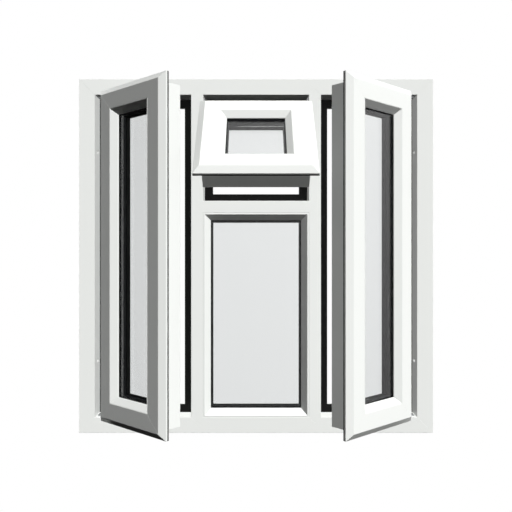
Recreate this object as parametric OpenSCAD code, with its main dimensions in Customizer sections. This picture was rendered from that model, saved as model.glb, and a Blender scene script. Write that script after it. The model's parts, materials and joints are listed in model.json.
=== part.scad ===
// Outward-opening casement window: two side-hung sashes, a top-hung vent and a fixed light
// in one T-barred frame. X runs right as seen from outside, Y runs into the room, Z up.
// Origin: centre of the frame's underside. All sizes in millimetres. Each section is drawn with
// depth 0 on the frame's front face.

/* [Window] */
// Overall width of the outer frame
frame_w = 1000; // [850:10:1200]
// Overall height of the outer frame
frame_h = 1000; // [850:10:1200]
// Width of the middle bay between the mullions
mid_w = 299; // [260:1:340]
// Height of the bay above the transom
vent_h = 299.5; // [270:0.5:340]
// How far every sash stands open
open_deg = 42.7; // [0:0.1:60]

/* [Frame sections] */
// Front face width of head, sill and jambs
face_w = 44.5; // [40:0.5:50]
// Front face width of mullions and transom
bar_w = 34; // [30:1:40]
// Depth from the front face to the room-side flange
rebate_d = 58; // [56:0.5:62]
// Thickness of the room-side flange
flange_t = 12; // [10:0.5:14]
// How far the room-side flange stands out past the rebate wall
flange_w = 24; // [22:0.5:26]
// Thickness of the gasket on the flange that a sash closes on
flange_seal = 3; // [2.5:0.1:4]
// Wall thickness of the extruded profiles
wall = 2.8; // [2.4:0.1:3.2]

/* [Sash section] */
// Overlap of the sash flange on the frame face
lap = 8; // [7:0.5:9]
// Gap between frame face and sash flange, filled by the weather seal
seal_gap = 4; // [3:0.5:5]
// Thickness of the flange at its edge
edge_t = 4.4; // [4:0.2:6]
// Height of the sash face in front of the flange back
face_t = 17.1; // [15:0.1:19]
// Width of the outer chamfer
outer_cham = 16.9; // [14:0.1:19]
// Width from the flange edge to the bead
stile_w = 61; // [58:0.5:66]
// Space between the rebate wall and the sash body, filled by the stays
stack = 13; // [12.6:0.1:14]
// Depth of the room-side leg that stands behind the glazed unit
leg_d = 28; // [24:0.5:28]
// Depth of the leg at its edge, where the room-side slope ends
leg_edge = 8; // [7:0.5:12]
// Distance from the flange edge to where the room-side slope starts
slope_u = 50; // [40:1:56]

/* [Glazing] */
// Thickness of each glazed unit
unit_t = 24; // [20:1:24]
// Thickness of each pane
pane_t = 4; // [3:0.5:5]
// Thickness of each glazing gasket
rub = 3; // [2.5:0.1:3.5]
// Bead width in the sashes
bead_w = 17; // [15:0.5:19]
// Bead width in the fixed light
fix_bead_w = 19.8; // [18:0.2:22]
// Flat lip at the front of a fixed-light bead
bead_lip = 4.2; // [3:0.2:6]
// Reach of the room-side leg past the bead
leg = 4.5; // [3:0.5:6]
// Width of glass held behind each bead
bite = 13; // [11:0.5:14]

/* [Friction stays] */
// Length of the long arm between pivots
arm_l = 96.5; // [94:0.5:100]
// Distance from the hinge-side rebate wall to the long arm's sash pivot
pivot_x = 76.5; // [75:0.5:80]
// Distance between the two pivots on the sash bar
pivot_gap = 60; // [58:0.5:64]
// Depth of the track's centre line behind the frame face
track_y = 21; // [20:0.5:23]
// Width of the track
track_w = 18; // [17:0.5:20]
// Height of the track above the rebate wall
track_h = 4.2; // [4:0.1:4.4]
// Thickness of the arms
arm_t = 2.8; // [2.4:0.1:3]
// Thickness of the bar fixed to the sash
bar_t = 2.6; // [2:0.1:2.8]
// Radius of the pivot pins
pin_r = 3; // [2.5:0.1:3.2]
// Radial running clearance at each pivot
run_fit = 0.06; // [0.03:0.01:0.1]

/* [Handles] */
// Length of the handle lever from its pivot
lever_l = 110; // [90:5:120]
// Thickness of the handle lever
lever_t = 10; // [8:0.5:12]
// Distance from the flange edge to the handle pivot
handle_u = 66; // [64:0.5:68]

/* [Fixing] */
// Radius of the fixing holes through the jambs
fix_r = 5.25; // [4:0.25:6]
// Distance between the two fixing holes in each jamb
fix_gap = 600; // [500:10:620]

/* [Hidden] */
$fn = 32;
eps = 0.01;
cut = 400;                          // larger than any section, for cutting
depth = rebate_d + flange_t;
y_front = -depth/2;                 // front face of the frame
xw = frame_w/2 - face_w;            // side rebate wall
z0 = face_w;                        // sill rebate floor
z1 = frame_h - face_w;              // head rebate floor
xm = mid_w/2;                       // inner face of a mullion
side_w = xw - xm - bar_w;           // side bay width
tall = z1 - z0;                     // side bay height
zt = z1 - vent_h;                   // top face of the transom
fix_h = zt - bar_w - z0;            // fixed bay height
transom_z = zt - bar_w/2 - frame_h/2; // middle of the transom, from the frame's middle
soft_gap = 0.3;                     // left between a seal and what closes on it
bead_gap = 0.3;                     // hairline between a pair of beads and what they clip into
mitre_gap = 0.05;                   // half the hairline gap between mitred beads

// chambers, from the front face inwards
front_c = 13;                       // front drainage chamber
box_c = 32;                         // reinforcement chamber
steel_t = 1.5;                      // thickness of the steel
y_box = 2*wall + front_c + box_c/2; // middle of the reinforcement chambers

// sash
body_u = lap + stack;               // flange edge to sash body
y_face = -seal_gap - face_t;        // sash front plane
y_in = rebate_d - flange_seal;      // sash room-side plane
y_leg = y_in - leg_d;               // front of the room-side leg
y_glass = y_leg - rub - unit_t;     // outer glass plane in a sash
yf_glass = rebate_d - rub - unit_t; // outer glass plane in the fixed light
s_leg = stile_w + bead_w + leg;     // flange edge to room-side sightline
weather_w = 5.5;                    // width of the seal between frame face and sash flange
bead_h = 15;                        // depth of a sash bead's chamfer
bead_land = 6.5;                    // straight inner edge of a fixed bead
lining = 1;                         // thickness of the gasket's lip over the leg's edge

// stays: every stay is the same, made to suit the narrower bay
p2 = pivot_x + arm_l;               // the long arm's pivot on the track
short_l = arm_l - pivot_gap;        // length of the short arm between pivots
track_x = 5;                        // start of the track
track_l = p2 + 5;                   // length of the track
track_floor = 1.4;                  // thickness of the track's floor
track_lip = 1;                      // thickness of the lips that hold the shoe down
level_gap = 0.4;                    // air between pieces that slide over each other
head_t = 1.3;                       // thickness of the rivet heads
rivet_r = 4.8;
long_r = 8;                         // half the width of the long arm
short_r = 7;                        // half the width of the short arm
shoe_l = 22;                        // length of the sliding shoe
shoe_t = 1.1;                       // thickness of its plate
screw_r = 2;
screw_head_r = 3.6;
screw_fit = 0.2;                    // clearance of a screw in its hole
track_holes = [track_x + 8, p2 - 23, p2 + 9];
z_arm = track_h + level_gap;        // underside of the arms
z_bar = stack - bar_t;              // underside of the sash bar
bar_x = 8;                          // start of the sash bar
bar_l = min(side_w, vent_h) - 80;   // length of the sash bar
bar_holes = [pivot_x + 23.5, bar_x + bar_l - 12];

// handles
base_r = 12;                        // end radius of the handle base
base_z = 22;                        // end centres of the handle base, from its middle
spindle_r = 4;
hub_r = 11;
tip_r = 8;                          // radius at the lever's tip
nose_t = 6;                         // thickness of the nose that locks behind the striker
nose_w = 14;
nose_over = 10;                     // reach of the nose over the frame's flange
striker_w = 8;
striker_l = 24;
striker_t = 3;
lift = 0.4;                         // air under the lever and its nose
y_lever = depth + striker_t + lift; // underside of the lever
nose_l = handle_u - lap - flange_w + nose_over;

white = [0.93, 0.94, 0.92];
black = [0.07, 0.07, 0.07];
steel = [0.72, 0.73, 0.75];
glass = [0.80, 0.84, 0.84, 0.35];
blue = [0.2, 0.35, 0.6];
brass = [0.75, 0.62, 0.35];

// ---- positions of the linkage for opening angle t, in a bay's own axes
function q2(t) = [p2 - arm_l*cos(t), track_y - arm_l*sin(t), 0];
function q1(t) = q2(t) - pivot_gap*[cos(t), -sin(t), 0];
function shoe_x(t) = p2 - 2*pivot_gap*cos(t);

// ---- a mitred bar along X, its section given as (Y, inward distance)
module mitred(w, h, gap = 0) difference() {
  translate([-w/2, 0, -h/2]) rotate([90, 0, 90]) linear_extrude(height = w) children();
  for (s = [0, 1]) mirror([s, 0, 0])
    translate([w/2, -cut/2, -h/2]) rotate([0, -45, 0]) translate([-gap, 0, -cut/2]) cube(cut);
}
// the two bars along X, then the two along Z, of a ring centred on the origin
module bars_x(w, h, gap = 0) for (s = [0, 1]) mirror([0, 0, s]) mitred(w, h, gap) children();
module bars_z(w, h, gap = 0) for (s = [0, 1]) mirror([s, 0, 0]) rotate([0, 90, 0]) mitred(h, w, gap) children();
// a closed ring of rectangular section, from outer size w by h, inward by t, between two depths
module ring(w, h, t, ya, yb) translate([0, yb, 0]) rotate([90, 0, 0]) linear_extrude(height = yb - ya)
  difference() {
    square([w, h], center = true);
    square([w - 2*t, h - 2*t], center = true);
  }
module plate(w, h, ya, yb) translate([-w/2, ya, -h/2]) cube([w, yb - ya, h]);
// a cylinder that stands on level z, l high
module post(r, z, l) translate([0, 0, z]) cylinder(r = r, h = l);
// a flat outline given as (X, Z), between two depths
module along_y(ya, yb) translate([0, yb, 0]) rotate([90, 0, 0]) linear_extrude(height = yb - ya) children();

// ---- frame sections
module frame_section() difference() {
  polygon([[0, 0], [depth, 0], [depth, face_w + flange_w], [rebate_d, face_w + flange_w],
           [rebate_d, face_w], [0, face_w]]);
  translate([wall, wall]) square([front_c, face_w - 2*wall]);
  translate([2*wall + front_c, (face_w - box_c)/2]) square(box_c);
  translate([rebate_d + wall, wall]) square([flange_t - 2*wall, face_w + flange_w - 2*wall]);
}
module bar_section() difference() {
  union() {
    translate([0, -bar_w/2]) square([rebate_d + eps, bar_w]);
    translate([rebate_d, -bar_w/2 - flange_w]) square([flange_t, bar_w + 2*flange_w]);
  }
  translate([wall, wall - bar_w/2]) square([front_c, bar_w - 2*wall]);
  translate([2*wall + front_c, wall - bar_w/2]) square([box_c, bar_w - 2*wall]);
  translate([rebate_d + wall, wall - bar_w/2 - flange_w])
    square([flange_t - 2*wall, bar_w + 2*flange_w - 2*wall]);
}
// a T bar of clear length l between rebate walls, standing along Z from the origin
module t_bar(l) {
  difference() {
    linear_extrude(height = l) rotate(90) mirror([0, 1]) bar_section();
    for (z = [-1, l - flange_w]) translate([-cut/2, rebate_d, z]) cube([cut, flange_t + 1, flange_w + 1]);
  }
  for (s = [0, 1]) translate([0, 0, s*l]) mirror([0, 0, s]) bar_tip();
}
// the shallow arrow point where a bar's face is let into the next one
module bar_tip() along_y(0, wall) polygon([[-bar_w/2, 0], [bar_w/2, 0], [0, -bar_w/2]]);
// everything of the frame is placed about the middle of its front face
module at_frame() translate([0, y_front, frame_h/2]) children();
module both_sides() for (s = [0, 1]) mirror([s, 0, 0]) children();
module fixing_holes() both_sides() for (k = [-1, 1]) translate([(frame_w - face_w)/2, y_box, k*fix_gap/2])
  rotate([0, 90, 0]) cylinder(r = fix_r, h = 2*face_w, center = true);
module mullion_tips() both_sides() translate([xm + bar_w/2, 0, -tall/2]) bar_tip();

module cross_bar(s) color(white) at_frame() mirror([0, 0, s]) difference() {
  mitred(frame_w, frame_h) frame_section();
  mullion_tips();
}
module head() cross_bar(1);
module sill() cross_bar(0);
module jamb(s) color(white) at_frame() mirror([s, 0, 0]) difference() {
  rotate([0, 90, 0]) mitred(frame_h, frame_w) frame_section();
  fixing_holes();
}
module left_jamb() jamb(0);
module right_jamb() jamb(1);
module mullion(s) color(white) at_frame() mirror([s, 0, 0]) difference() {
  translate([-xm - bar_w/2, 0, -tall/2]) t_bar(tall);
  translate([-xm, 0, transom_z]) rotate([0, 90, 0]) bar_tip();
}
module left_mullion() mullion(0);
module right_mullion() mullion(1);
module transom() color(white) at_frame() translate([-xm, 0, transom_z]) rotate([0, 90, 0]) t_bar(mid_w);
module hollow_bar(l, b) difference() {
  cube([b, b, l], center = true);
  cube([b - 2*steel_t, b - 2*steel_t, l + 2], center = true);
}
module frame_steel() color(steel) at_frame() difference() {
  for (s = [-1, 1]) {
    translate([s*(frame_w - face_w)/2, y_box, 0]) hollow_bar(frame_h - 2*face_w, box_c);
    translate([0, y_box, s*(frame_h - face_w)/2]) rotate([0, 90, 0]) hollow_bar(frame_w - 2*face_w, box_c);
  }
  fixing_holes();
}
module mullion_steel() color(steel) at_frame() both_sides()
  translate([xm + bar_w/2, y_box, 0]) hollow_bar(tall - 2, bar_w - 2*wall);

// ---- bays: local X from the hinge-side rebate wall, local Z along the hinge line
module left_bay() translate([-xw, y_front, z0]) children();
module right_bay() translate([xw, y_front, z0]) mirror([1, 0, 0]) children();
module vent_bay() translate([-xm, y_front, z1]) rotate([0, 90, 0]) children();
module fixed_bay() translate([0, y_front, z0 + fix_h/2]) children();

// the broad black gasket that covers a bay's flange out to its edge
module flange_gasket(b, l) translate([b/2, 0, l/2])
  ring(b - 2*soft_gap, l - 2*soft_gap, flange_w - soft_gap, y_in + soft_gap, rebate_d);
module bay_seals() color(black) {
  left_bay() flange_gasket(side_w, tall);
  right_bay() flange_gasket(side_w, tall);
  vent_bay() flange_gasket(vent_h, mid_w);
}

// ---- glazing, shared by the fixed light and the sashes: a unit of width w and height h
module unit_panes(w, h, y) for (k = [0, unit_t - pane_t]) plate(w, h, y + k, y + k + pane_t);
module unit_spacer(w, h, y) ring(w, h, bite + leg - 0.6, y + pane_t, y + unit_t - pane_t);
module unit_seals(w, h, y) {
  ring(w, h, bite + 0.8, y - rub, y);
  ring(w, h, bite + leg + lining, y + unit_t, y + unit_t + rub);
}
// the lip by which the room-side gasket of a sash wraps its leg
module leg_lip(w, h, y) ring(w - 2*(bite + leg), h - 2*(bite + leg), lining, y, y + leg_edge);
module unit_packers(w, h, y, c) for (x = [-1, 1], z = [-1, 1])
  translate([x*(w/2 - 60) - 25, y, z*(h/2 + c/2) - c/2]) cube([50, unit_t, c]);

// ---- fixed light
module fixed_bead_section() polygon([[0.4, 0], [0, bead_lip], [yf_glass - rub - bead_land, fix_bead_w],
  [yf_glass - rub, fix_bead_w], [yf_glass - rub, 0]]);
module fixed_beads() color(white) fixed_bay() {
  bars_x(mid_w - bead_gap, fix_h - bead_gap, mitre_gap) fixed_bead_section();
  bars_z(mid_w - bead_gap, fix_h - bead_gap, mitre_gap) fixed_bead_section();
}
fw = mid_w - 2*(fix_bead_w - bite);
fh = fix_h - 2*(fix_bead_w - bite);
module fixed_panes() color(glass) fixed_bay() unit_panes(fw, fh, yf_glass);
module fixed_spacer() color(black) fixed_bay() unit_spacer(fw, fh, yf_glass);
module fixed_seals() color(black) fixed_bay() unit_seals(fw, fh, yf_glass);
module fixed_packers() color(blue) fixed_bay() unit_packers(fw, fh, yf_glass, fix_bead_w - bite);

// ---- sashes, drawn closed in a bay of width b and length l, then swung open
module swing(t) translate(q2(t)) rotate([0, 0, -t]) translate([-pivot_x, -track_y, 0]) children();
module on_sash(b, l) swing(open_deg) translate([b/2, 0, l/2]) children();

module sash_section() difference() {
  polygon([[-seal_gap, 0], [-seal_gap - edge_t, 0], [y_face, outer_cham], [y_face, stile_w],
           [y_leg, stile_w], [y_leg, s_leg], [y_leg + leg_edge, s_leg], [y_in, slope_u],
           [y_in, body_u], [-seal_gap, body_u]]);
  translate([y_face + wall, outer_cham + 2]) square([14, stile_w - outer_cham - 2 - wall]);
  translate([wall, body_u + wall]) square([y_leg - 2*wall, stile_w - body_u - 2*wall]);
  polygon([[y_leg + wall, body_u + wall], [y_leg + wall, s_leg - wall],
           [y_leg + leg_edge - wall, s_leg - wall], [y_in - wall, slope_u - wall/2],
           [y_in - wall, body_u + wall]]);
}
module bead_section() polygon([[y_face + 0.2, 0], [y_face, 0.8], [y_face + bead_h, bead_w],
  [y_glass - rub, bead_w], [y_glass - rub, 0]]);
// a glazed unit and its beads fit inside a sash made for bay size b
function unit_size(b) = b + 2*lap - 2*(stile_w + bead_w - bite);
function bead_size(b) = b + 2*lap - 2*stile_w - bead_gap;
module stiles(b, l) color(white) on_sash(b, l) bars_z(b + 2*lap, l + 2*lap) sash_section();
module rails(b, l) color(white) on_sash(b, l) bars_x(b + 2*lap, l + 2*lap) sash_section();
module beads(b, l) color(white) on_sash(b, l) {
  bars_x(bead_size(b), bead_size(l), mitre_gap) bead_section();
  bars_z(bead_size(b), bead_size(l), mitre_gap) bead_section();
}
module panes(b, l) color(glass) on_sash(b, l) unit_panes(unit_size(b), unit_size(l), y_glass);
module spacer(b, l) color(black) on_sash(b, l) unit_spacer(unit_size(b), unit_size(l), y_glass);
module glazing_seals(b, l) color(black) on_sash(b, l) {
  unit_seals(unit_size(b), unit_size(l), y_glass);
  leg_lip(unit_size(b), unit_size(l), y_leg);
}
module weather_seal(b, l) color(black) on_sash(b, l)
  ring(b + 2*lap - 0.8, l + 2*lap - 0.8, weather_w, -seal_gap, -soft_gap);

// ---- friction stays: a pair in each bay, one at each end of the hinge line
module both_ends(l) {
  children();
  translate([0, 0, l]) mirror([0, 0, 1]) children();
}
module all_bays_ends() {
  left_bay() both_ends(tall) children();
  right_bay() both_ends(tall) children();
  vent_bay() both_ends(mid_w) children();
}
module track() difference() {
  translate([track_x, track_y - track_w/2, 0]) cube([track_l, track_w, track_h]);
  translate([track_x - 1, track_y - track_w/2 + 1.2, track_floor])
    cube([track_l + 2, track_w - 2.4, track_h - track_floor - track_lip]);
  translate([track_x - 1, track_y - track_w/2 + 3.4, track_floor + 0.6])
    cube([track_l + 2, track_w - 6.8, track_h]);
  for (x = track_holes) translate([x, track_y, 0]) post(screw_r + screw_fit, -1, track_floor + 2);
}
module track_pivot() translate([p2, track_y, 0]) {
  post(rivet_r, track_floor - eps, track_h - track_floor);
  post(pin_r, 0, z_arm + arm_t + level_gap + eps);
  post(rivet_r, z_arm + arm_t + level_gap, head_t);
}
module stay_tracks() color(steel) all_bays_ends() {
  track();
  track_pivot();
}
module track_screws() color(steel) all_bays_ends() for (x = track_holes) translate([x, track_y, 0]) {
  translate([0, 0, track_floor]) cylinder(r1 = screw_head_r, r2 = 3.2, h = 1.1);
  post(screw_r, -wall + 0.2, wall + track_floor - 0.1);
}
module stay_bar() {
  difference() {
    translate([bar_x, track_y - 8, z_bar]) cube([bar_l, 16, bar_t]);
    for (x = bar_holes) translate([x, track_y, 0]) post(screw_r + screw_fit, z_bar - 1, bar_t + 2);
  }
  for (x = [pivot_x, pivot_x - pivot_gap]) translate([x, track_y, 0]) {
    post(pin_r, z_arm, z_bar - z_arm + eps);
    post(5, z_arm + arm_t + level_gap, z_bar - z_arm - arm_t - level_gap + eps);
  }
}
module link(l, r) difference() {
  linear_extrude(height = arm_t) {
    circle(r = r);
    translate([l, 0]) circle(r = r);
    translate([0, -r]) square([l, 2*r]);
  }
  for (x = [0, l]) translate([x, 0, 0]) post(pin_r + run_fit, -1, arm_t + 2);
}
module stay_bars(l) color(steel) swing(open_deg) both_ends(l) stay_bar();
module long_arms(l) color(steel) both_ends(l)
  translate([p2, track_y, z_arm]) rotate([0, 0, 180 + open_deg]) link(arm_l, long_r);
module short_arms(l) color(steel) both_ends(l)
  translate([0, 0, z_arm]) translate(q1(open_deg)) rotate([0, 0, open_deg]) link(short_l, short_r);
module shoe() {
  translate([-shoe_l/2, -track_w/2 + 1.6, track_floor + level_gap]) cube([shoe_l, track_w - 3.2, shoe_t]);
  post(pin_r, track_floor + level_gap, z_arm + arm_t - track_floor - level_gap);
  post(4.6, track_floor + 1, track_h - track_floor - 1);
}
module stay_shoes(l) color(brass) both_ends(l) translate([shoe_x(open_deg), track_y, 0]) shoe();

// ---- handles: pivot on the room side of the free stile, half way along it
module at_handle(b, l) swing(open_deg) translate([b + lap - handle_u, 0, l/2]) children();
module spindle(r, l) translate([0, y_lever - 1, 0]) rotate([-90, 0, 0]) cylinder(r = r, h = l);
// its base is a wedge that follows the room-side slope
module handle_base(b, l) color(white) at_handle(b, l) {
  difference() {
    along_y(y_leg, y_lever - lift) hull() for (z = [-base_z, base_z]) translate([0, z]) circle(r = base_r);
    translate([handle_u, 0, -cut/2]) linear_extrude(height = cut) rotate(90)
      polygon([[0, 0], [y_in, 0], [y_in, slope_u], [y_leg + leg_edge, s_leg], [0, s_leg]]);
  }
  spindle(spindle_r, lever_t - 2);
}
module lever_blade() hull() {
  circle(r = 9);
  translate([0, tip_r - lever_l]) circle(r = tip_r);
}
module lever_shape() difference() {
  union() {
    along_y(y_lever, y_lever + lever_t) circle(r = hub_r);
    along_y(y_lever + 2, y_lever + lever_t) lever_blade();
    along_y(y_lever, y_lever + nose_t) translate([0, -nose_w/2]) square([nose_l, nose_w]);
  }
  spindle(spindle_r + run_fit, lever_t - 1.7);
}
module handle_lever(b, l) color(white) at_handle(b, l) rotate([0, 90, 0]) lever_shape();
module striker(b, l) translate([b - flange_w + 1, 0, l/2])
  along_y(depth, depth + striker_t) translate([0, -striker_l/2]) square([striker_w, striker_l]);
module strikers() color(steel) {
  left_bay() striker(side_w, tall);
  right_bay() striker(side_w, tall);
  vent_bay() striker(vent_h, mid_w);
}

module left_stiles() left_bay() stiles(side_w, tall);
module left_rails() left_bay() rails(side_w, tall);
module left_beads() left_bay() beads(side_w, tall);
module left_panes() left_bay() panes(side_w, tall);
module left_spacer() left_bay() spacer(side_w, tall);
module left_glazing_seals() left_bay() glazing_seals(side_w, tall);
module left_weather_seal() left_bay() weather_seal(side_w, tall);
module left_stay_bars() left_bay() stay_bars(tall);
module left_long_arms() left_bay() long_arms(tall);
module left_short_arms() left_bay() short_arms(tall);
module left_stay_shoes() left_bay() stay_shoes(tall);
module left_handle_base() left_bay() handle_base(side_w, tall);
module left_handle_lever() left_bay() handle_lever(side_w, tall);

module right_stiles() right_bay() stiles(side_w, tall);
module right_rails() right_bay() rails(side_w, tall);
module right_beads() right_bay() beads(side_w, tall);
module right_panes() right_bay() panes(side_w, tall);
module right_spacer() right_bay() spacer(side_w, tall);
module right_glazing_seals() right_bay() glazing_seals(side_w, tall);
module right_weather_seal() right_bay() weather_seal(side_w, tall);
module right_stay_bars() right_bay() stay_bars(tall);
module right_long_arms() right_bay() long_arms(tall);
module right_short_arms() right_bay() short_arms(tall);
module right_stay_shoes() right_bay() stay_shoes(tall);
module right_handle_base() right_bay() handle_base(side_w, tall);
module right_handle_lever() right_bay() handle_lever(side_w, tall);

module vent_rails() vent_bay() stiles(vent_h, mid_w);
module vent_stiles() vent_bay() rails(vent_h, mid_w);
module vent_beads() vent_bay() beads(vent_h, mid_w);
module vent_panes() vent_bay() panes(vent_h, mid_w);
module vent_spacer() vent_bay() spacer(vent_h, mid_w);
module vent_glazing_seals() vent_bay() glazing_seals(vent_h, mid_w);
module vent_weather_seal() vent_bay() weather_seal(vent_h, mid_w);
module vent_stay_bars() vent_bay() stay_bars(mid_w);
module vent_long_arms() vent_bay() long_arms(mid_w);
module vent_short_arms() vent_bay() short_arms(mid_w);
module vent_stay_shoes() vent_bay() stay_shoes(mid_w);
module vent_handle_base() vent_bay() handle_base(vent_h, mid_w);
module vent_handle_lever() vent_bay() handle_lever(vent_h, mid_w);

head();
sill();
left_jamb();
right_jamb();
left_mullion();
right_mullion();
transom();
frame_steel();
mullion_steel();
bay_seals();
fixed_beads();
fixed_panes();
fixed_spacer();
fixed_seals();
fixed_packers();
stay_tracks();
track_screws();
strikers();
left_stiles();
left_rails();
left_beads();
left_panes();
left_spacer();
left_glazing_seals();
left_weather_seal();
left_stay_bars();
left_long_arms();
left_short_arms();
left_stay_shoes();
left_handle_base();
left_handle_lever();
right_stiles();
right_rails();
right_beads();
right_panes();
right_spacer();
right_glazing_seals();
right_weather_seal();
right_stay_bars();
right_long_arms();
right_short_arms();
right_stay_shoes();
right_handle_base();
right_handle_lever();
vent_stiles();
vent_rails();
vent_beads();
vent_panes();
vent_spacer();
vent_glazing_seals();
vent_weather_seal();
vent_stay_bars();
vent_long_arms();
vent_short_arms();
vent_stay_shoes();
vent_handle_base();
vent_handle_lever();
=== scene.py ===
"""Finishes, gaskets, hardware and studio for an outward-opening casement window."""

import json
import math

import bmesh
import bpy
from bpy.props import FloatProperty, FloatVectorProperty, IntProperty, PointerProperty
from mathutils import Matrix, Vector


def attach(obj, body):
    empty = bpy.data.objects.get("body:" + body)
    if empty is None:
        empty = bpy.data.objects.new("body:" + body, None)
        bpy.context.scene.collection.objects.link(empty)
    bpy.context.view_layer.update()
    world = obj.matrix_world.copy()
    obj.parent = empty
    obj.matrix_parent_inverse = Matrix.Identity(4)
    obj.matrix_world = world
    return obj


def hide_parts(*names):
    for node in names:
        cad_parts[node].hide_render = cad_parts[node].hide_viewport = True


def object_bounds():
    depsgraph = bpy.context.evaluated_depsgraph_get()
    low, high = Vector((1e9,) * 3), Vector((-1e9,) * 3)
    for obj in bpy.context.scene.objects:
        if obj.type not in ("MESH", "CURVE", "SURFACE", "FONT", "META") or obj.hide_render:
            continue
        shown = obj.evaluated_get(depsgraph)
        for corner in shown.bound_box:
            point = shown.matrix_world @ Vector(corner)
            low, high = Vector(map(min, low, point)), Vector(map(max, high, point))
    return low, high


bl_info = {
    "name": "Casement Window Finishes",
    "version": (1, 0, 0),
    "blender": (4, 5, 0),
    "location": "View3D > Sidebar > Window",
    "description": "Welded profiles, gaskets, glazed units, stays and handles of a casement window",
    "category": "Object",
}

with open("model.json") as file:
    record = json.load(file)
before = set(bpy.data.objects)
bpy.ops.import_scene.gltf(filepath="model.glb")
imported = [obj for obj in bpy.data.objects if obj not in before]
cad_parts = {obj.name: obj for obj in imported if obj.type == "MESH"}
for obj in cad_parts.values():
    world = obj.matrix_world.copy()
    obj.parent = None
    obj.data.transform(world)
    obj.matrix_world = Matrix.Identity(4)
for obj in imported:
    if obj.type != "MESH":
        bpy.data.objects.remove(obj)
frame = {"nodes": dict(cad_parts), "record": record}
CAD_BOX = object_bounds()
BEHAVIOUR = frame["record"]["behaviour"]
JOINTS = {joint["name"]: joint for joint in BEHAVIOUR["joints"]}
RATIOS = {row["joint"]: row["ratio"] for row in BEHAVIOUR["couplings"]}
SLOTS = {part["node"]: part["material_slot"] for part in frame["record"]["subparts"]}
SASHES = ("left", "right", "vent")
FRAME_BARS = (
    "head", "sill", "left_jamb", "right_jamb", "left_mullion", "right_mullion", "transom")
MM = 0.001
FLOAT = "NodeSocketFloat"
WHITE = (1, 1, 1, 1)

# How the CAD meshes are cleaned and rounded
SAME_POINT = 0.01 * MM
SAME_PLANE = math.radians(0.5)
SAME_WAY = 0.01
SHARP = math.radians(25)
SHARP_PRESSED = math.radians(40)
CAST_STEPS = 3

# A screw's end face is this thin, and its cross reaches this far past its radius
SCREW_END = 0.1 * MM
CROSS_REACH = 1.15

# A colour mix names several sockets alike, so these are picked by number
MIX_FACTOR, MIX_DARK, MIX_LIGHT, MIX_RESULT = 0, 6, 7, 2

# Each lamp's name, degrees round from the front, degrees up, and strength
LAMPS = (("overhead_lamp", 30, 50, 4.0), ("right_lamp", 50, 10, 1.0),
         ("left_lamp", -135, 0, 1.3), ("room_lamp", 175, 20, 2.2))
BRIGHT_SIDE = (0.6, -0.4, 0.7)
FLOOR_SIZE = 30
FLOOR_GAP = 0.5 * MM


# ---------------------------------------------------------------- colours and nodes

def hex_rgb(hex_colour):
    """An sRGB hex colour as linear red, green and blue."""
    parts = [int(hex_colour[i:i + 2], 16) / 255 for i in (1, 3, 5)]
    return tuple(c / 12.92 if c <= 0.04045 else ((c + 0.055) / 1.055) ** 2.4 for c in parts)


def shade(colour, factor):
    """A darker or lighter shade of a linear colour, with alpha."""
    return (*[min(1.0, c * factor) for c in colour[:3]], 1.0)


def feed(tree, node, inputs):
    """Gives a node its inputs: each is a value, or a socket to link from."""
    for key, value in inputs.items():
        if isinstance(value, bpy.types.NodeSocket):
            tree.links.new(value, node.inputs[key])
        else:
            node.inputs[key].default_value = value


def add(tree, kind, settings=None, inputs=None):
    """A new node with its settings and inputs."""
    node = tree.nodes.new(kind)
    for key, value in (settings or {}).items():
        setattr(node, key, value)
    feed(tree, node, inputs or {})
    return node


# ---------------------------------------------------------------- settings

class WindowFinish(bpy.types.PropertyGroup):
    """Colours of the window's materials"""
    upvc: FloatVectorProperty(
        name="uPVC", description="Extruded profile colour", subtype="COLOR",
        default=hex_rgb("#F2F4F1"))
    coating: FloatVectorProperty(
        name="Handle coating", description="Powder coat on the handles", subtype="COLOR",
        default=hex_rgb("#F4F5F3"))
    rubber: FloatVectorProperty(
        name="Rubber", description="Gasket colour", subtype="COLOR", default=hex_rgb("#0B0B0B"))
    spacer: FloatVectorProperty(
        name="Spacer", description="Spacer bar colour", subtype="COLOR",
        default=hex_rgb("#151617"))
    glass: FloatVectorProperty(
        name="Glass", description="Tint that each pane gives", subtype="COLOR",
        default=hex_rgb("#F5F6F6"))
    packer: FloatVectorProperty(
        name="Packers", description="Glazing packer colour", subtype="COLOR",
        default=hex_rgb("#2F62A0"))


class WindowEdges(bpy.types.PropertyGroup):
    """Radii of the edges"""
    frame_radius: FloatProperty(
        name="Frame edges", description="Radius on frame profile edges", unit="LENGTH",
        default=0.9 * MM)
    sash_radius: FloatProperty(
        name="Sash edges", description="Radius on sash profile edges", unit="LENGTH",
        default=1.2 * MM)
    bead_radius: FloatProperty(
        name="Bead edges", description="Radius on glazing bead edges", unit="LENGTH",
        default=0.35 * MM)
    weld: FloatProperty(
        name="Weld groove", description="Half width of the groove along a welded corner",
        unit="LENGTH", default=0.25 * MM)
    metal_radius: FloatProperty(
        name="Stay edges", description="Radius on pressed steel edges", unit="LENGTH",
        default=0.25 * MM)
    steps: IntProperty(name="Steps", description="Faces across each edge", default=2, min=1, max=4)


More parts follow.
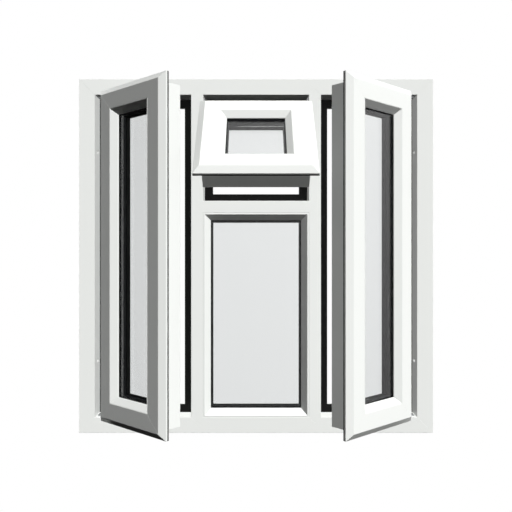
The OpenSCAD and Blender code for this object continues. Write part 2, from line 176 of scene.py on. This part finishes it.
class WindowRubber(bpy.types.PropertyGroup):
    """Sizes of the gasket lips"""
    lip: FloatProperty(
        name="Lip", description="Diameter of the lip along a gasket's edge", unit="LENGTH",
        default=1.8 * MM)
    rib: FloatProperty(
        name="Rib", description="Diameter of the ribs on a flange gasket", unit="LENGTH",
        default=2.2 * MM)
    ribs: IntProperty(
        name="Ribs", description="Ribs across a flange gasket", default=4, min=1, max=6)
    proud: FloatProperty(
        name="Rib rise", description="Height of the ribs above a flange gasket, less than its clearance",
        unit="LENGTH", default=0.2 * MM)
    edge: FloatProperty(
        name="Gasket edges", description="Radius on a gasket's own edges", unit="LENGTH",
        default=0.2 * MM)
    broad: FloatProperty(
        name="Broad gasket", description="Breadth from which a gasket has ribs and no lip",
        unit="LENGTH", default=20 * MM)


class WindowHardware(bpy.types.PropertyGroup):
    """Sizes of the screws and handles"""
    recess: FloatProperty(
        name="Cross recess", description="Width of each arm of a screw's cross", unit="LENGTH",
        default=0.9 * MM)
    head_radius: FloatProperty(
        name="Screw head", description="Radius of a track screw's head", unit="LENGTH",
        default=3.5 * MM)
    head_rise: FloatProperty(
        name="Head rise", description="Height of a track screw's domed head", unit="LENGTH",
        default=1.4 * MM)
    base_radius: FloatProperty(
        name="Handle base edges", description="Radius on the edges of a handle's base", unit="LENGTH",
        default=1.2 * MM)
    lever_radius: FloatProperty(
        name="Lever edges", description="Radius on the edges of a handle's lever", unit="LENGTH",
        default=1.8 * MM)


class WindowStage(bpy.types.PropertyGroup):
    """The camera and the studio"""
    distance: FloatProperty(
        name="Distance", description="Camera to the frame's front face", unit="LENGTH", default=1.74)
    lens: FloatProperty(name="Lens", description="Focal length", unit="CAMERA", default=43.3)
    power: FloatProperty(
        name="Light", description="Share of the lamps' power", subtype="FACTOR", default=1.0)
    softness: FloatProperty(
        name="Softness", description="Angle that a lamp seems to span", unit="ROTATION",
        default=math.radians(20))
    bounce: FloatProperty(
        name="Bounce", description="Share of the lamps' light that is left after it bounces",
        subtype="FACTOR", default=0.02)
    shine: FloatProperty(
        name="Shine", description="Brightest of the world in reflections", default=0.95)
    fill: FloatProperty(
        name="Fill", description="Brightness of the world as a light", default=0.006)


# ---------------------------------------------------------------- where the sashes are

def joint_turn(name, angle):
    """The turn that a hinge gives its child, about its place at rest."""
    joint = JOINTS[name]
    place = Matrix.Translation(Vector(joint["pos_m"]))
    return place @ Matrix.Rotation(angle, 4, Vector(joint["axis"])) @ place.inverted()


def closing(sash):
    """The move that takes a sash from rest, where it stands open, to closed."""
    opening = f"{sash}_opening"
    follower = f"{sash}_sash_pivot"
    angle = math.radians(JOINTS[opening]["range_deg"][0])
    return joint_turn(opening, angle) @ joint_turn(follower, RATIOS[follower] * angle)


TO_CLOSED = {sash: closing(sash) for sash in SASHES}
TO_CLOSED["frame"] = Matrix.Identity(4)


def body_of(node):
    """The body that carries a node."""
    return next(body for body, nodes in BEHAVIOUR["bodies"].items() if node in nodes)


def to_closed(node):
    """The move from a node's place at rest to its place with everything closed."""
    body = body_of(node)
    return TO_CLOSED[body.split("_")[0]] if body.endswith("_sash") else TO_CLOSED["frame"]


def merged(node):
    """A CAD node's solids with their corners joined up and their flat faces whole."""
    shape = bmesh.new()
    shape.from_mesh(frame["nodes"][node].data)
    bmesh.ops.remove_doubles(shape, verts=shape.verts, dist=SAME_POINT)
    bmesh.ops.dissolve_limit(shape, angle_limit=SAME_PLANE, verts=shape.verts, edges=shape.edges)
    shape.normal_update()
    return shape


def solids_of(node, move=None):
    """The corner points of each separate solid of a node, moved if asked."""
    shape = merged(node)
    move = move or Matrix.Identity(4)
    left = set(shape.verts)
    groups = []
    while left:
        queue = [left.pop()]
        points = []
        while queue:
            vert = queue.pop()
            points.append(move @ vert.co)
            for edge in vert.link_edges:
                other = edge.other_vert(vert)
                if other in left:
                    left.remove(other)
                    queue.append(other)
        groups.append(points)
    shape.free()
    return groups


def span(points):
    """Lowest and highest corners of some points."""
    low = Vector([min(p[i] for p in points) for i in range(3)])
    high = Vector([max(p[i] for p in points) for i in range(3)])
    return low, high


# ---------------------------------------------------------------- materials

class Finish:
    """A Principled material under construction, with its tree and its shader."""

    def __init__(self, name, colour, roughness, metallic=0.0):
        self.mat = bpy.data.materials.new(name)
        self.mat.use_nodes = True
        self.tree = self.mat.node_tree
        self.shader = self.tree.nodes["Principled BSDF"]
        self.colour = colour
        self.put("Base Color", shade(colour, 1.0))
        self.put("Roughness", roughness)
        self.put("Metallic", metallic)
        self.place = add(self.tree, "ShaderNodeTexCoord").outputs["Object"]

    def put(self, key, value):
        """Sets one of the shader's inputs to a value, or links it from a socket."""
        feed(self.tree, self.shader, {key: value})

    def noise(self, size, stretch=(1, 1, 1), detail=3.0):
        """Noise with features of a size in metres, drawn out where stretch is under 1."""
        spread = add(self.tree, "ShaderNodeMapping", inputs={
            "Vector": self.place, "Scale": stretch})
        return add(self.tree, "ShaderNodeTexNoise", inputs={
            "Vector": spread.outputs[0], "Scale": 1 / size, "Detail": detail}).outputs["Fac"]

    def tint(self, source, dark, light):
        """Varies the colour between two shades of itself."""
        mix = add(self.tree, "ShaderNodeMix", {"data_type": "RGBA"}, {
            MIX_FACTOR: source, MIX_DARK: shade(self.colour, dark),
            MIX_LIGHT: shade(self.colour, light)})
        self.put("Base Color", mix.outputs[MIX_RESULT])

    def roughen(self, source, low, high):
        """Varies the roughness between two limits, over the middle of a pattern's range."""
        spread = add(self.tree, "ShaderNodeMapRange", inputs={
            "Value": source, "From Min": 0.3, "From Max": 0.7, "To Min": low, "To Max": high})
        self.put("Roughness", spread.outputs[0])

    def relief(self, source, height):
        """Raises the surface by a height in metres where a pattern is bright."""
        bump = add(self.tree, "ShaderNodeBump", inputs={"Height": source, "Distance": height})
        self.put("Normal", bump.outputs[0])


def extruded_upvc(colour):
    """Extruded uPVC: satin white with the soft waviness that a calibrating die leaves."""
    finish = Finish("extruded_upvc_satin", colour, 0.36)
    finish.put("IOR", 1.53)
    finish.tint(finish.noise(150 * MM), 0.985, 1.0)
    finish.roughen(finish.noise(20 * MM), 0.32, 0.40)
    finish.relief(finish.noise(6 * MM), 0.015 * MM)
    return finish.mat


def epdm_rubber(colour):
    """Extruded EPDM: matt black, uneven as if dusted, with little shine of its own."""
    finish = Finish("extruded_epdm_rubber", colour, 0.6)
    finish.put("Specular IOR Level", 0.2)
    finish.tint(finish.noise(12 * MM), 0.6, 1.5)
    finish.roughen(finish.noise(4 * MM), 0.52, 0.70)
    finish.relief(finish.noise(1.5 * MM), 0.03 * MM)
    return finish.mat


def float_glass(colour):
    """Float glass: polished and nearly colourless, with the faintest haze in places."""
    finish = Finish("float_glass_polished", colour, 0.0)
    finish.put("IOR", 1.5)
    finish.put("Transmission Weight", 1.0)
    finish.roughen(finish.noise(300 * MM), 0.0, 0.003)
    return finish.mat


def foam_spacer(colour):
    """Structural foam spacer: dull black with the fine grain of foam."""
    finish = Finish("structural_foam_spacer", colour, 0.8)
    finish.tint(finish.noise(6 * MM), 0.7, 1.3)
    finish.relief(finish.noise(2 * MM), 0.04 * MM)
    return finish.mat


def rolled_steel(name, colour, grain, low, high):
    """Rolled or plated steel: fine grain drawn out along X, so highlights streak."""
    finish = Finish(name, colour, 0.3, metallic=1.0)
    streaks = finish.noise(grain, stretch=(0.08, 1, 1))
    finish.tint(streaks, 0.9, 1.06)
    finish.roughen(streaks, low, high)
    finish.relief(streaks, 0.01 * MM)
    return finish.mat


def galvanised_steel():
    """Hot-dip galvanised steel: dull grey with zinc crystals about 8 mm across."""
    finish = Finish("hot_dip_galvanised_steel", hex_rgb("#A3A8AB"), 0.5, metallic=1.0)
    cells = add(finish.tree, "ShaderNodeTexVoronoi", inputs={
        "Vector": finish.place, "Scale": 1 / (8 * MM)})
    spangle = cells.outputs["Distance"]
    finish.tint(spangle, 0.8, 1.15)
    finish.roughen(spangle, 0.4, 0.65)
    return finish.mat


def powder_coat(colour):
    """Powder coat on die-cast zinc: glossier than the profiles, with a fine orange peel."""
    finish = Finish("powder_coated_zinc", colour, 0.25)
    finish.put("Coat Weight", 0.3)
    finish.tint(finish.noise(30 * MM), 0.98, 1.0)
    finish.relief(finish.noise(1.2 * MM), 0.015 * MM)
    return finish.mat


def machined_brass():
    """Machined brass: warm yellow, dulled in fine patches."""
    finish = Finish("machined_brass", hex_rgb("#C8A45A"), 0.35, metallic=1.0)
    finish.tint(finish.noise(4 * MM), 0.8, 1.1)
    finish.roughen(finish.noise(2 * MM), 0.28, 0.48)
    return finish.mat


def moulded_packer(colour):
    """Moulded polypropylene: waxy and dull."""
    finish = Finish("moulded_polypropylene", colour, 0.5)
    finish.tint(finish.noise(10 * MM), 0.85, 1.1)
    return finish.mat


def slot_material(slot):
    """The finished material for one of the record's material slots."""
    return bpy.data.materials[{
        "upvc_white": "extruded_upvc_satin", "handle_white": "powder_coated_zinc",
        "clear_glass": "float_glass_polished", "spacer_black": "structural_foam_spacer",
        "seal_rubber": "extruded_epdm_rubber", "packer_plastic": "moulded_polypropylene",
        "stainless": "rolled_stainless_steel", "galvanised_steel": "hot_dip_galvanised_steel",
        "shoe_brass": "machined_brass"}[slot]]


# ---------------------------------------------------------------- making pieces

def stand_for(name, mesh, *nodes, mat=None):
    """Puts a finished mesh in the scene in place of CAD nodes of one body."""
    piece = bpy.data.objects.new(name, mesh)
    bpy.context.scene.collection.objects.link(piece)
    mesh.materials.clear()
    mesh.materials.append(mat or slot_material(SLOTS[nodes[0]]))
    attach(piece, body_of(nodes[0]))
    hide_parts(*nodes)
    return piece


def held(name, mesh=None):
    """A throwaway object to hang a modifier on."""
    holder = bpy.data.objects.new(name, mesh or bpy.data.meshes.new(name))
    bpy.context.scene.collection.objects.link(holder)
    return holder


def flattened(holder):
    """The evaluated mesh of a throwaway object, which is then removed."""
    bpy.context.view_layer.update()
    graph = bpy.context.evaluated_depsgraph_get()
    mesh = bpy.data.meshes.new_from_object(holder.evaluated_get(graph), depsgraph=graph)
    bpy.data.objects.remove(holder)
    return mesh


def joined(*meshes):
    """Several meshes as one smooth-shaded mesh of separate shells."""
    whole = bmesh.new()
    for mesh in meshes:
        whole.from_mesh(mesh)
    result = bpy.data.meshes.new(meshes[0].name)
    whole.to_mesh(result)
    whole.free()
    for polygon in result.polygons:
        polygon.use_smooth = True
    return result


def softened(node, radius, steps, weld=None, sharp=SHARP):
    """A copy of a CAD node with rounded edges; edges of a mitre get the width of a weld groove."""
    turn = to_closed(node).to_3x3()
    shape = merged(node)
    weights = shape.edges.layers.float.new("bevel_weight_edge")
    diagonal = math.sqrt(0.5)

    def mitred(face):
        normal = turn @ face.normal
        return abs(normal.y) < SAME_WAY and abs(abs(normal.x) - diagonal) < SAME_WAY

    for edge in shape.edges:
        if len(edge.link_faces) == 2 and edge.calc_face_angle(0) > sharp:
            at_weld = weld is not None and any(mitred(face) for face in edge.link_faces)
            edge[weights] = weld / radius if at_weld else 1.0
    for face in shape.faces:
        face.smooth = True
    mesh = bpy.data.meshes.new(node + "_rounded")
    shape.to_mesh(mesh)
    shape.free()
    if "custom_normal" in mesh.attributes:
        mesh.attributes.remove(mesh.attributes["custom_normal"])
    holder = held(node + "_rounded", mesh)
    rounding = holder.modifiers.new("edge radius", "BEVEL")
    rounding.width = radius
    rounding.segments = steps
    rounding.limit_method = "WEIGHT"
    flats = holder.modifiers.new("flat faces stay flat", "WEIGHTED_NORMAL")
    flats.weight = 100
    return flattened(holder)


# ---------------------------------------------------------------- geometry node trees

def new_group(name, *inputs):
    """An empty geometry node tree with named inputs, and its input node's sockets."""
    tree = bpy.data.node_groups.new(name, "GeometryNodeTree")
    tree.interface.new_socket("Geometry", in_out="OUTPUT", socket_type="NodeSocketGeometry")
    for label, kind in inputs:
        tree.interface.new_socket(label, in_out="INPUT", socket_type=kind)
    return tree, tree.nodes.new("NodeGroupInput").outputs


def end_group(tree, geometry, mat):
    """Ends a tree in real geometry that carries its material."""
    real = add(tree, "GeometryNodeRealizeInstances", inputs={0: geometry})
    coloured = add(tree, "GeometryNodeSetMaterial", inputs={
        "Geometry": real.outputs[0], "Material": mat})
    add(tree, "NodeGroupOutput", inputs={0: coloured.outputs[0]})


def grown(tree, holder=None, **values):
    """The mesh that a tree makes for these values."""
    holder = holder or held("holder")
    maker = holder.modifiers.new("maker", "NODES")
    maker.node_group = tree
    for item in tree.interface.items_tree:
        key = item.name.replace(" ", "_").lower()
        if item.in_out == "INPUT" and key in values:
            maker[item.identifier] = values[key]
    return flattened(holder)


def lip_tree():
    """A closed gasket lip: an oval section run round a rectangle in the plane of the window."""
    tree, given = new_group("gasket lip", ("Width", FLOAT), ("Height", FLOAT), ("Breadth", FLOAT),
                            ("Depth", FLOAT), ("Corner", FLOAT))
    path = add(tree, "GeometryNodeCurvePrimitiveQuadrilateral", inputs={
        "Width": given["Width"], "Height": given["Height"]})
    eased = add(tree, "GeometryNodeFilletCurve", {"mode": "POLY"}, {
        "Curve": path.outputs[0], "Count": 3, "Radius": given["Corner"]})
    upright = add(tree, "GeometryNodeTransform", inputs={
        "Geometry": eased.outputs[0], "Rotation": (math.pi / 2, 0, 0)})
    circle = add(tree, "GeometryNodeCurvePrimitiveCircle", inputs={
        "Resolution": 10, "Radius": 0.5})
    size = add(tree, "ShaderNodeCombineXYZ", inputs={
        "X": given["Breadth"], "Y": given["Depth"], "Z": 1.0})
    section = add(tree, "GeometryNodeTransform", inputs={
        "Geometry": circle.outputs[0], "Scale": size.outputs[0]})
    swept = add(tree, "GeometryNodeCurveToMesh", inputs={
        "Curve": upright.outputs[0], "Profile Curve": section.outputs[0]})
    smooth = add(tree, "GeometryNodeSetShadeSmooth", inputs={"Geometry": swept.outputs[0]})
    end_group(tree, smooth.outputs[0], bpy.data.materials["extruded_epdm_rubber"])
    return tree


def screw_tree():
    """Domed screw heads with a cross recess, one on each given point, facing its way."""
    tree, given = new_group("screw heads", ("Geometry", "NodeSocketGeometry"), ("Radius", FLOAT),
                            ("Rise", FLOAT), ("Recess", FLOAT))
    ball = add(tree, "GeometryNodeMeshUVSphere", inputs={
        "Segments": 24, "Rings": 10, "Radius": 1.0})
    size = add(tree, "ShaderNodeCombineXYZ", inputs={
        "X": given["Radius"], "Y": given["Radius"], "Z": given["Rise"]})
    dome = add(tree, "GeometryNodeTransform", inputs={
        "Geometry": ball.outputs[0], "Scale": size.outputs[0]})
    longer = add(tree, "ShaderNodeMath", {"operation": "MULTIPLY"}, {
        0: given["Radius"], 1: CROSS_REACH})
    reach = longer.outputs[0]
    lift = add(tree, "ShaderNodeCombineXYZ", inputs={"Z": given["Rise"]})
    tools = []
    for long, wide in ((reach, given["Recess"]), (given["Recess"], reach)):
        shape = add(tree, "ShaderNodeCombineXYZ", inputs={
            "X": long, "Y": wide, "Z": given["Rise"]})
        block = add(tree, "GeometryNodeMeshCube", inputs={"Size": shape.outputs[0]})
        raised = add(tree, "GeometryNodeTransform", inputs={
            "Geometry": block.outputs[0], "Translation": lift.outputs[0]})
        tools.append(raised.outputs[0])
    cross = add(tree, "GeometryNodeMeshBoolean", {"operation": "UNION"})
    for tool in tools:
        tree.links.new(tool, cross.inputs["Mesh 2"])
    cut = add(tree, "GeometryNodeMeshBoolean", {"operation": "DIFFERENCE"}, {
        "Mesh 1": dome.outputs[0], "Mesh 2": cross.outputs[0]})
    way = add(tree, "GeometryNodeInputNamedAttribute", {"data_type": "FLOAT_VECTOR"}, {
        "Name": "way"})
    facing = add(tree, "FunctionNodeAlignRotationToVector", {"axis": "Z"}, {
        "Vector": way.outputs[0]})
    points = add(tree, "GeometryNodeMeshToPoints", inputs={"Mesh": given["Geometry"]})
    placed = add(tree, "GeometryNodeInstanceOnPoints", inputs={
        "Points": points.outputs[0], "Instance": cut.outputs[0], "Rotation": facing.outputs[0]})
    end_group(tree, placed.outputs[0], bpy.data.materials["zinc_plated_steel"])
    return tree


# ---------------------------------------------------------------- operators

class PieceOperator(bpy.types.Operator):
    """Shared by the operators that make pieces"""
    bl_options = {"REGISTER", "UNDO"}

    @classmethod
    def poll(cls, context):
        return context.mode == "OBJECT"


class WINDOW_OT_finishes(PieceOperator):
    """Makes the materials and gives them to the CAD nodes that stay"""
    bl_idname = "window.finishes"
    bl_label = "Finishes"

    def execute(self, context):
        finish = context.scene.window_finish
        extruded_upvc(finish.upvc)
        epdm_rubber(finish.rubber)
        float_glass(finish.glass)
        foam_spacer(finish.spacer)
        powder_coat(finish.coating)
        moulded_packer(finish.packer)
        rolled_steel("rolled_stainless_steel", hex_rgb("#BFC1C3"), 2 * MM, 0.22, 0.38)
        rolled_steel("zinc_plated_steel", hex_rgb("#C9CDD2"), 1 * MM, 0.18, 0.3)
        galvanised_steel()
        machined_brass()
        for name, node in frame["nodes"].items():
            for holder in node.material_slots:
                holder.material = slot_material(SLOTS[name])
        return {"FINISHED"}


class WINDOW_OT_frame(PieceOperator):
    """Frame bars with rounded edges and welded corners"""
    bl_idname = "window.frame"
    bl_label = "Frame bars"

    def execute(self, context):
        edges = context.scene.window_edges
        for name in FRAME_BARS:
            stand_for(name + "_bar", softened(name, edges.frame_radius, edges.steps, edges.weld), name)
        return {"FINISHED"}


class WINDOW_OT_sashes(PieceOperator):
    """Sash stiles and rails with rounded edges and welded corners"""
    bl_idname = "window.sashes"
    bl_label = "Sash bars"

    def execute(self, context):
        edges = context.scene.window_edges
        for name in (f"{sash}_{part}" for sash in SASHES for part in ("stiles", "rails")):
            shape = softened(name, edges.sash_radius, edges.steps, edges.weld)
            stand_for(name + "_welded", shape, name)
        return {"FINISHED"}


class WINDOW_OT_beads(PieceOperator):
    """Glazing beads with crisp edges, mitred and clipped in"""
    bl_idname = "window.beads"
    bl_label = "Glazing beads"

    def execute(self, context):
        edges = context.scene.window_edges
        for name in ("fixed_beads", *(f"{sash}_beads" for sash in SASHES)):
            stand_for(name + "_clipped", softened(name, edges.bead_radius, edges.steps), name)
        return {"FINISHED"}


class WINDOW_OT_gaskets(PieceOperator):
    """Gaskets with a lip along the inner edge, or ribs round the broad ones"""
    bl_idname = "window.gaskets"
    bl_label = "Gaskets"

    def execute(self, context):
        rubber = context.scene.window_rubber
        tree = lip_tree()
        for name, slot in SLOTS.items():
            if slot == "seal_rubber":
                self.make(name, tree, rubber)
        return {"FINISHED"}

    def make(self, name, tree, rubber):
        """One gasket node: its plain rings, and a lip or ribs on each of them."""
        move = to_closed(name)
        shells = [softened(name, rubber.edge, steps=1)]
        for points in solids_of(name, move):
            low, high = span(points)
            middle = (low + high) / 2
            inner = [min(abs(p[i] - middle[i]) for p in points) for i in (0, 2)]
            outer = (high - low) / 2
            breadth = outer.x - inner[0]
            count = rubber.ribs if breadth > rubber.broad else 1
            size = rubber.rib if count > 1 else rubber.lip
            for k in range(count):
                inset = breadth * (k + 0.5) / count if count > 1 else breadth - size / 2
                depth = min(size, high.y - low.y)
                lip = grown(tree, width=2 * (outer.x - inset), height=2 * (outer.z - inset),
                            breadth=size, depth=depth, corner=size)
                sunk = 0.0 if count == 1 else rubber.proud
                side = Vector((middle.x, low.y + depth / 2 - sunk, middle.z))
                lip.transform(move.inverted() @ Matrix.Translation(side))
                shells.append(lip)
        stand_for(name + "_lipped", joined(*shells), name)


class WINDOW_OT_stays(PieceOperator):
    """Friction stays: pressed steel tracks, bars and arms, brass shoes, cross-head screws"""
    bl_idname = "window.stays"
    bl_label = "Friction stays"

    def execute(self, context):
        edges = context.scene.window_edges
        names = ["stay_tracks", "strikers"]
        names += [f"{sash}_{part}" for sash in SASHES
                  for part in ("stay_bars", "long_arms", "short_arms", "stay_shoes")]
        for name in names:
            shape = softened(name, edges.metal_radius, steps=1, sharp=SHARP_PRESSED)
            stand_for(name + "_pressed", shape, name)
        self.screws(context.scene.window_hardware)
        return {"FINISHED"}

    def screws(self, hardware):
        """The track screws, each with a domed cross head at its wider end."""
        places, ways = [], []
        for points in solids_of("track_screws"):
            low, high = span(points)
            size = high - low
            axis = min(range(3), key=lambda i: size[i])
            middle = (low + high) / 2
            reach = {end: max((p - middle).length for p in points
                              if abs(p[axis] - end[axis]) < SCREW_END)
                     for end in (low.freeze(), high.freeze())}
            top = max(reach, key=reach.get)
            place = middle.copy()
            way = Vector((0, 0, 0))
            way[axis] = 1 if top[axis] > middle[axis] else -1
            place[axis] = top[axis] - way[axis] * hardware.head_rise
            places.append(place)
            ways.append(way)
        mesh = bpy.data.meshes.new("screw_places")
        mesh.from_pydata(places, [], [])
        layer = mesh.attributes.new("way", "FLOAT_VECTOR", "POINT")
        layer.data.foreach_set("vector", [c for way in ways for c in way])
        heads = grown(screw_tree(), held("screws", mesh), radius=hardware.head_radius,
                      rise=hardware.head_rise, recess=hardware.recess)
        stand_for("track_screws_crosshead", heads, "track_screws",
                  mat=bpy.data.materials["zinc_plated_steel"])


class WINDOW_OT_handles(PieceOperator):
    """Cockspur handles with rounded levers on wedge bases"""
    bl_idname = "window.handles"
    bl_label = "Handles"

    def execute(self, context):
        hardware = context.scene.window_hardware
        radii = {"handle_base": hardware.base_radius, "handle_lever": hardware.lever_radius}
        for sash in SASHES:
            for part, radius in radii.items():
                name = f"{sash}_{part}"
                stand_for(name + "_cast", softened(name, radius, CAST_STEPS), name)
        return {"FINISHED"}


class WINDOW_OT_stage(PieceOperator):
    """White studio: floor, lamps and camera"""
    bl_idname = "window.stage"
    bl_label = "Studio"

    def execute(self, context):
        setting = context.scene.window_stage
        self.world(context.scene, setting)
        self.lamps(context.scene, setting)
        self.floor()
        self.camera(context.scene, setting)
        context.scene.view_settings.view_transform = "Standard"
        return {"FINISHED"}

    def looked_at(self, tree, path):
        """One for what is seen directly or straight through glass, none for bounced light."""
        bounces = add(tree, "ShaderNodeMath", {"operation": "ADD"}, {
            0: path["Glossy Depth"], 1: path["Diffuse Depth"]})
        straight = add(tree, "ShaderNodeMath", {"operation": "LESS_THAN"}, {
            0: bounces.outputs[0], 1: 0.5})
        through = add(tree, "ShaderNodeMath", {"operation": "MULTIPLY"}, {
            0: path["Is Transmission Ray"], 1: straight.outputs[0]})
        seen = add(tree, "ShaderNodeMath", {"operation": "MAXIMUM"}, {
            0: path["Is Camera Ray"], 1: through.outputs[0]})
        return seen.outputs[0]

    def world(self, scene, setting):
        """White where it is looked at, dim as a light, brightest on one side in reflections."""
        world = bpy.data.worlds.new("studio")
        scene.world = world
        world.use_nodes = True
        tree = world.node_tree
        tree.nodes.clear()
        path = add(tree, "ShaderNodeLightPath").outputs
        place = add(tree, "ShaderNodeTexCoord").outputs["Generated"]
        side = add(tree, "ShaderNodeVectorMath", {"operation": "DOT_PRODUCT"}, {
            0: place, 1: BRIGHT_SIDE})
        soft = add(tree, "ShaderNodeMapRange", inputs={
            "Value": side.outputs["Value"], "From Min": 0.0, "From Max": 0.7,
            "To Min": 0.0, "To Max": setting.shine})
        gloss = add(tree, "ShaderNodeMath", {"operation": "MULTIPLY"}, {
            0: soft.outputs[0], 1: path["Is Glossy Ray"]})
        light = add(tree, "ShaderNodeMath", {"operation": "MAXIMUM"}, {
            0: gloss.outputs[0], 1: setting.fill})
        power = add(tree, "ShaderNodeMath", {"operation": "MAXIMUM"}, {
            0: self.looked_at(tree, path), 1: light.outputs[0]})
        back = add(tree, "ShaderNodeBackground", inputs={
            "Color": WHITE, "Strength": power.outputs[0]})
        add(tree, "ShaderNodeOutputWorld", inputs={"Surface": back.outputs[0]})

    def lamps(self, scene, setting):
        """Broad lamps without shadows, whose light is nearly gone after its first bounce."""
        for name, azimuth, height, strength in LAMPS:
            lamp = bpy.data.lights.new(name, "SUN")
            lamp.energy = strength * setting.power
            lamp.angle = setting.softness
            lamp.use_shadow = False
            lamp.use_nodes = True
            tree = lamp.node_tree
            bounces = add(tree, "ShaderNodeLightPath").outputs["Diffuse Depth"]
            fade = add(tree, "ShaderNodeMapRange", inputs={
                "Value": bounces, "To Min": 1.0, "To Max": setting.bounce})
            feed(tree, tree.nodes["Emission"], {"Strength": fade.outputs[0]})
            obj = bpy.data.objects.new(name, lamp)
            obj.rotation_euler = (math.radians(90 - height), 0, math.radians(azimuth))
            obj.visible_glossy = False
            obj.visible_transmission = False
            scene.collection.objects.link(obj)

    def floor(self):
        """A white sweep of paper under the window."""
        bpy.ops.mesh.primitive_plane_add(
            size=FLOOR_SIZE, location=(0, 0, CAD_BOX[0][2] - FLOOR_GAP))
        floor = bpy.context.object
        floor.name = "studio_floor"
        paper = Finish("floor_paper", (0.0, 0.0, 0.0), 1.0)
        paper.put("Specular IOR Level", 0.0)
        paper.put("Emission Color", WHITE)
        paper.put("Emission Strength", 1.0)
        path = add(paper.tree, "ShaderNodeLightPath").outputs
        paper.put("Alpha", self.looked_at(paper.tree, path))
        floor.data.materials.append(paper.mat)
        floor.visible_diffuse = False
        floor.visible_glossy = False
        floor.visible_shadow = False

    def camera(self, scene, setting):
        """Square on to the window, at the height of its middle."""
        eye = bpy.data.cameras.new("camera")
        eye.lens = setting.lens
        obj = bpy.data.objects.new("camera", eye)
        face = min(vert.co.y for vert in frame["nodes"]["head"].data.vertices)
        obj.location = (0, face - setting.distance, (CAD_BOX[0][2] + CAD_BOX[1][2]) / 2)
        obj.rotation_euler = (math.pi / 2, 0, 0)
        scene.collection.objects.link(obj)
        scene.camera = obj


class WINDOW_PT_panel(bpy.types.Panel):
    """Lists the window's settings and the operators that make its pieces"""
    bl_label = "Casement Window"
    bl_idname = "WINDOW_PT_panel"
    bl_space_type = "VIEW_3D"
    bl_region_type = "UI"
    bl_category = "Window"

    def draw(self, context):
        for group, operators in PANEL_ROWS:
            box = self.layout.box()
            settings = getattr(context.scene, group)
            for key in settings.__annotations__:
                box.prop(settings, key)
            for operator in operators:
                box.operator(operator.bl_idname)


GROUPS = {
    "window_finish": WindowFinish, "window_edges": WindowEdges, "window_rubber": WindowRubber,
    "window_hardware": WindowHardware, "window_stage": WindowStage}
OPERATORS = (
    WINDOW_OT_finishes, WINDOW_OT_frame, WINDOW_OT_sashes, WINDOW_OT_beads,
    WINDOW_OT_gaskets, WINDOW_OT_stays, WINDOW_OT_handles, WINDOW_OT_stage)
PANEL_ROWS = (("window_finish", (WINDOW_OT_finishes,)),
              ("window_edges", (WINDOW_OT_frame, WINDOW_OT_sashes, WINDOW_OT_beads)),
              ("window_rubber", (WINDOW_OT_gaskets,)),
              ("window_hardware", (WINDOW_OT_stays, WINDOW_OT_handles)),
              ("window_stage", (WINDOW_OT_stage,)))


def register():
    for cls in (*GROUPS.values(), *OPERATORS, WINDOW_PT_panel):
        bpy.utils.register_class(cls)
    for name, cls in GROUPS.items():
        setattr(bpy.types.Scene, name, PointerProperty(type=cls))


def unregister():
    for name in GROUPS:
        delattr(bpy.types.Scene, name)
    for cls in reversed((*GROUPS.values(), *OPERATORS, WINDOW_PT_panel)):
        bpy.utils.unregister_class(cls)


def main():
    register()
    for operator in OPERATORS:
        area, name = operator.bl_idname.split(".")
        getattr(getattr(bpy.ops, area), name)()


if __name__ == "__main__":
    main()
